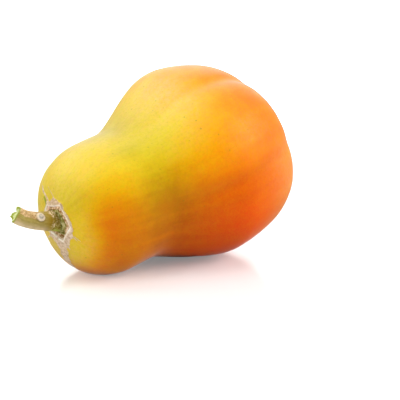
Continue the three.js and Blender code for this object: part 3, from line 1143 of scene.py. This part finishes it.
@dataclass(frozen=True)
class StalkFinish:
    """Dull olive bark with tan cork along its upper side, and a fresh green and white cut end."""

    bark_tones: Stops = ((0.3, (0.36, 0.25, 0.05)), (0.5, (0.51, 0.39, 0.1)), (0.7, (0.68, 0.56, 0.24)))
    cork_tones: Stops = ((0.36, (0.36, 0.21, 0.07)), (0.5, (0.66, 0.42, 0.17)), (0.64, (0.92, 0.7, 0.42)))
    foot_tones: Stops = ((0.4, (0.27, 0.17, 0.01)), (0.49, (0.5, 0.35, 0.07)), (0.58, (1.0, 0.8, 0.5)))
    inner_tint: Colour = (0.93, 0.74, 0.06)
    # tan underside, painted lighter than the cork as light bounced up onto it
    under_tone_and_bounce: Colour = (0.98, 0.77, 0.46)
    base_green: Colour = (0.52, 0.62, 0.07)
    scar_tone: Colour = (0.97, 0.82, 0.62)
    scar_core: Colour = (0.5, 0.47, 0.4)
    # dark scar brown: specks in the scar, and a ring of painted shade round the knob's foot
    scar_edge: Colour = (0.24, 0.15, 0.05)
    rind_tone: Colour = (0.33, 0.39, 0.035)
    pith_tone: Colour = (0.72, 0.76, 0.32)

    def made(self) -> bpy.types.Material:
        """Makes the material."""
        n = Nodes("papaya_stalk")
        where, grain = n.place(), n.directions("grain")
        fibres, clouds = n.noise(grain, 0.8, 3.0, 0.6), n.noise(where, 3.5, 4.0, 0.6)
        grit = n.noise(where, 0.9, 3.0, 0.6)
        colour = n.ramp(fibres * 0.5 + clouds * 0.5, self.bark_tones)
        colour = n.blend(n.mark("inner"), colour, self.inner_tint, Mixing.MULTIPLY)
        foot = (n.mark("foot") + (clouds - 0.5) * 0.9).rise(0.3, 0.75)
        colour = n.blend(foot, colour, n.ramp(clouds * 0.5 + grit * 0.5, self.foot_tones))
        colour = n.blend(n.mark("base_green") * clouds.rise(0.3, 0.6), colour, self.base_green)
        cork = (n.mark("cork") + (clouds - 0.5) * 0.8 + (grit - 0.5) * 0.5).rise(0.35, 0.6)
        colour = n.blend(cork, colour, n.ramp(clouds * 0.4 + grit * 0.6, self.cork_tones))
        # the stalk's tan underside, painted lighter as light from below
        under = (n.mark("under") * (0.4 + clouds * 0.8 + grit * 0.3)).held()
        colour = n.blend(under, colour, self.under_tone_and_bounce)
        # painted shade: a dark ring round the knob's foot
        colour = n.blend(n.mark("scar_edge") * 0.8, colour, self.scar_edge)
        core = (n.mark("scar_core") * clouds.rise(0.3, 0.6)).held()
        worn = n.blend(core, self.scar_tone, self.scar_core)
        worn = n.blend(grit.rise(0.45, 0.8) * 0.6, worn, self.scar_edge)
        colour = n.blend(n.mark("scar"), colour, worn)
        colour = n.blend(n.mark("rind"), colour, self.rind_tone)
        wet = n.mark("pith")
        colour = n.blend(wet, colour, n.blend(grit.rise(0.2, 0.55), self.rind_tone, self.pith_tone))
        height = fibres * 0.5 + grit * (0.3 + cork * 0.6) + clouds * 0.3
        return n.finish(**{
            "Base Color": colour,
            "Roughness": 0.72 - wet * 0.2 + (grit - 0.5) * 0.15,
            "Normal": n.bumped(height, 0.25),
            "Specular IOR Level": 0.25,
        })


@dataclass
class StalkStub:
    """The stub of the stalk: a profile carried along a bent path, torn off at its far end."""

    form: StalkForm = field(default_factory=StalkForm)
    fruit: FruitForm = field(default_factory=FruitForm)
    finish: StalkFinish = field(default_factory=StalkFinish)
    columns: int = 160
    rows: int = 200
    end_rows: int = 30

    def path(self, share: Array) -> tuple[Array, Array, float]:
        """The path's points and directions at even shares of its length.

        The path is a cubic curve through four control points, walked at an even pace.

        Args:
            share: Shares of the length.

        Returns:
            Points, directions, and the whole length.
        """
        a, b, c, d = (self.fruit.laid_down(*corner, 0.0) for corner in self.form.path)
        t = np.linspace(0, 1, 1200)
        back, on = 1 - t[:, None], t[:, None]
        points = back**3 * a + 3 * on * back**2 * b + 3 * on**2 * back * c + on**3 * d
        slopes = back**2 * (b - a) + 2 * on * back * (c - b) + on**2 * (d - c)
        steps = np.linalg.norm(np.diff(points, axis=0), axis=1)
        travelled = np.concatenate([[0.0], np.cumsum(steps)])
        pace = np.interp(share * travelled[-1], travelled, t)
        at = np.stack([np.interp(pace, t, points[:, i]) for i in range(3)], axis=-1)
        way = np.stack([np.interp(pace, t, slopes[:, i]) for i in range(3)], axis=-1)
        return at, way / np.linalg.norm(way, axis=1, keepdims=True), float(travelled[-1])

    def from_knob(self, share: Array, around: Array, length: float) -> Array:
        """Distance over the bark from the middle of the leaf scar, which is longer than wide."""
        along = (share - self.form.knob_at) * length / self.form.knob_stretch
        return np.hypot(along, np.radians(turned(around, self.form.knob_deg)) * self.form.radius)

    def marks(self, share: Array, reach: Array, around: Array, length: float) -> dict[str, Array]:
        """The marks that the finish reads, all as shapes in length, reach and angle round.

        Args:
            share: Share of the length of each row.
            reach: Share of the radius of each row, 1 except over the cut end.
            around: Angle round, from the top over the back.
            length: The stalk's length.

        Returns:
            The marks by name.
        """
        form = self.form
        shape = np.broadcast_shapes(share.shape, around.shape)
        from_knob = self.from_knob(share, around, length)
        upper = 1 - smooth(np.abs(turned(around, form.upper_deg)), 30.0, 60.0)
        from_under = turned(around, form.under_deg)
        turn = np.broadcast_arrays(np.cos(around), np.sin(around), share * length / form.grain_stretch)
        marks = {
            "foot": 1 - smooth(share, 0.22, 0.5),
            "base_green": bell(from_under / 34.0) * bell((share - 0.2) / 0.12),
            "inner": 1 - smooth(share, 0.3, 0.62),
            "cork": upper * smooth(share, 0.5, 0.62),
            # the underside, where a lighter tone stands for painted light from below
            "under": 0.9 * bell(from_under / 26.0) * smooth(share, 0.3, 0.5),
            "scar": 1 - smooth(from_knob, form.knob_reach * 0.85, form.knob_reach * 1.05),
            "scar_core": 1 - smooth(from_knob, form.knob_reach * 0.35, form.knob_reach * 0.75),
            # painted shade in a ring round the knob's foot
            "scar_edge": 0.4 * bell((from_knob - form.knob_reach * 1.15) / 0.3),
            "rind": smooth(share, 0.97, 1.0),
            "pith": 1 - smooth(reach + 0.1 * (1 + np.sin(around)), 0.8, 0.9),
        }
        marks = {name: np.broadcast_to(mark, shape) for name, mark in marks.items()}
        return {"grain": np.stack(turn, -1) * form.radius * METRES, **marks}

    def built(self) -> bpy.types.Object:
        """Makes and dresses the stalk.

        Each ring is a round profile square to the path: its radius times the cosine of the angle
        towards the top, and times the sine towards the back. The last rings close the cut end.

        Returns:
            The piece.
        """
        form = self.form
        share = np.concatenate([np.linspace(0, 1, self.rows), np.ones(self.end_rows)])
        reach = np.concatenate([np.ones(self.rows), np.linspace(0.985, 0.03, self.end_rows)])[:, None]
        around = np.linspace(0, 2 * np.pi, self.columns, endpoint=False)[None, :]
        at, way, length = self.path(share)
        side = np.array([0.0, 1.0, 0.0]) - way * way[:, 1:2]
        side /= np.linalg.norm(side, axis=1, keepdims=True)
        top = np.cross(side, way)
        share = share[:, None]
        marks = self.marks(share, reach, around, length)
        from_knob = self.from_knob(share, around, length) / form.knob_reach
        knob = form.knob_height * (1 - smooth(from_knob, 0.75, 1.2))
        grain = marks["grain"] / METRES
        bark = form.bark_rise * np.maximum(marks["cork"], marks["under"])
        fibre = form.fibre_height * Ripples(1.1, 24, 23).at(grain) + bark
        radius = (form.radius_at(share, around) + knob + fibre * smooth(share, 0.1, 0.2)) * reach
        rim = form.rim_at(around) * smooth(share, 0.93, 1.0)
        dish = form.dish * (1 - smooth(reach, 0.3, 1.0))
        push = rim * smooth(reach, 0.45, 1.0) - dish
        rings = (
            at[:, None, :]
            + top[:, None, :] * (radius * np.cos(around))[..., None]
            + side[:, None, :] * (radius * np.sin(around))[..., None]
            + way[:, None, :] * push[..., None]
        )
        skin = ClosedSkin(at[0], rings, at[-1] - way[-1] * form.dish, marks)
        return skin.made("papaya_stalk", self.finish.made())


# ---- The studio ----


@dataclass(frozen=True)
class Softbox:
    """One soft light."""

    name: str
    place: Place
    size: Pair
    watts: float
    shine: Shine = Shine.ALL
    aim: Place = (0.0, 0.0, 0.05)

    def made(self) -> bpy.types.Object:
        """Makes the light, facing its aim."""
        light = bpy.data.lights.new(self.name, "AREA")
        light.shape = "RECTANGLE"
        light.size, light.size_y = self.size
        light.energy = self.watts
        lamp = put_in_scene(self.name, light)
        lamp.location = self.place
        way = Vector(self.aim) - Vector(self.place)
        lamp.rotation_euler = way.to_track_quat("-Z", "Y").to_euler()
        lamp.visible_camera = False
        lamp.visible_glossy = self.shine is not Shine.DULL
        lamp.visible_diffuse = self.shine is not Shine.ONLY
        return lamp


@dataclass(frozen=True)
class Studio:
    """The floor, the lights and the camera."""

    azimuth_deg: float = -41.548
    elevation_deg: float = 13.542
    target: Place = (-0.00163, -0.01142, 0.03336)
    distance: float = 1.3
    lens: float = 205.1
    floor_radius: float = 8.0
    floor_tone: Colour = (0.9, 0.9, 0.9)
    glow_near: float = 0.22
    glow_far: float = 1.0
    glow_reach: Pair = (0.12, 0.5)
    floor_bounce: float = 0.6
    floor_sheen: float = 0.04
    ambient: float = 0.04
    softboxes: tuple[Softbox, ...] = (
        Softbox("overhead", (0.0, 0.0, 2.6), (2.4, 2.4), 30.0),
        Softbox("back_left", (-1.0, 1.6, 1.6), (1.6, 1.2), 12.0),
        Softbox("front_left", (-2.21, 0.22, 0.8), (1.2, 1.4), 34.0, Shine.DULL),
        Softbox("right", (1.65, -1.46, 0.9), (1.4, 1.5), 44.0, Shine.DULL),
        Softbox("front_right", (0.6, -1.9, 1.7), (1.4, 1.4), 16.0, Shine.DULL),
        Softbox("sheen_top", (0.0, 0.0, 2.6), (2.4, 2.4), 24.0, Shine.ONLY),
        Softbox("sheen_back", (0.1, 1.0, 2.3), (2.0, 1.6), 32.0, Shine.ONLY),
        Softbox("sheen_left", (-1.0, 1.6, 1.6), (1.6, 1.2), 60.0, Shine.ONLY),
        Softbox("sheen_right", (1.46, 1.65, 1.2), (2.5, 1.5), 46.0, Shine.ONLY),
    )

    def way_back(self) -> Vector:
        """From the target towards the camera."""
        azimuth, elevation = math.radians(self.azimuth_deg), math.radians(self.elevation_deg)
        level = math.cos(elevation)
        return Vector((math.sin(azimuth) * level, -math.cos(azimuth) * level, math.sin(elevation)))

    def place_camera(self) -> None:
        """Places the camera and makes it the scene's."""
        lens = bpy.data.cameras.new("camera")
        lens.lens, lens.sensor_width = self.lens, 36.0
        lens.clip_start, lens.clip_end = 0.01, 100.0
        camera = put_in_scene("camera", lens)
        camera.location = Vector(self.target) + self.way_back() * self.distance
        camera.rotation_euler = (-self.way_back()).to_track_quat("-Z", "Y").to_euler()
        bpy.context.scene.camera = camera

    def lay_floor(self) -> None:
        """Lays a wide round floor at the height that the fruit rests on.

        It is a white satin sheet that is lit from beneath a little, as a light table is. What the
        fruit sees of it is duller, so that its underside keeps its colour.
        """
        around = np.linspace(0, 2 * np.pi, 96, endpoint=False)
        points = np.stack([np.cos(around), np.sin(around), 0 * around], axis=-1) * self.floor_radius
        mesh = bpy.data.meshes.new("floor")
        mesh.from_pydata(points.tolist(), [], [list(range(len(around)))])
        floor = put_in_scene("floor", mesh)
        n = Nodes("floor")
        away = n.node("ShaderNodeVectorMath", {"operation": "LENGTH"}, _0=n.place()).outputs["Value"]
        far = Value(n, away).rise(*self.glow_reach)
        glow = n.blend(far, (self.glow_near,) * 3, (self.glow_far,) * 3)
        seen = n.node("ShaderNodeBsdfPrincipled", None, **{
            "Base Color": self.floor_tone, "Roughness": 0.25, "Specular IOR Level": 0.35,
            "Emission Color": glow, "Emission Strength": 1.0,
        })
        ray = n.node("ShaderNodeLightPath").outputs
        tone = n.blend(ray["Is Glossy Ray"], (self.floor_bounce,) * 3, (self.floor_sheen,) * 3)
        bounced = n.node("ShaderNodeBsdfDiffuse", None, Color=tone)
        both = n.node(
            "ShaderNodeMixShader", None, _0=ray["Is Camera Ray"], _1=bounced.outputs[0], _2=seen.outputs[0]
        )
        n.tree.links.new(both.outputs[0], n.out.inputs["Surface"])
        mesh.materials.append(n.material)

    def light(self) -> None:
        """Switches on the softboxes and a faint even light from all round."""
        for softbox in self.softboxes:
            softbox.made()
        world = bpy.data.worlds.new("studio")
        world.use_nodes = True
        world.node_tree.nodes["Background"].inputs["Color"].default_value = (1.0, 1.0, 1.0, 1.0)
        world.node_tree.nodes["Background"].inputs["Strength"].default_value = self.ambient
        bpy.context.scene.world = world
        bpy.context.scene.view_settings.view_transform = "Standard"

    def made(self) -> None:
        """Sets up the whole studio."""
        self.place_camera()
        self.lay_floor()
        self.light()


# ---- Putting it together ----


def main() -> None:
    """Builds the fruit, the stalk and the studio in order, and reports each piece."""
    logging.basicConfig(level=logging.INFO, format="%(name)s: %(message)s")
    for piece, node, slot in (
        (PapayaFruit().built(), "papaya_fruit", Slot.SKIN),
        (StalkStub().built(), "papaya_stem", Slot.STALK),
    ):
        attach(piece, "root")
        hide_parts(node)
        triangles = sum(len(face.vertices) - 2 for face in piece.data.polygons)
        LOG.info("%s stands for %s: %d triangles", piece.name, node, triangles)
    Studio().made()


if __name__ == "__main__":
    main()
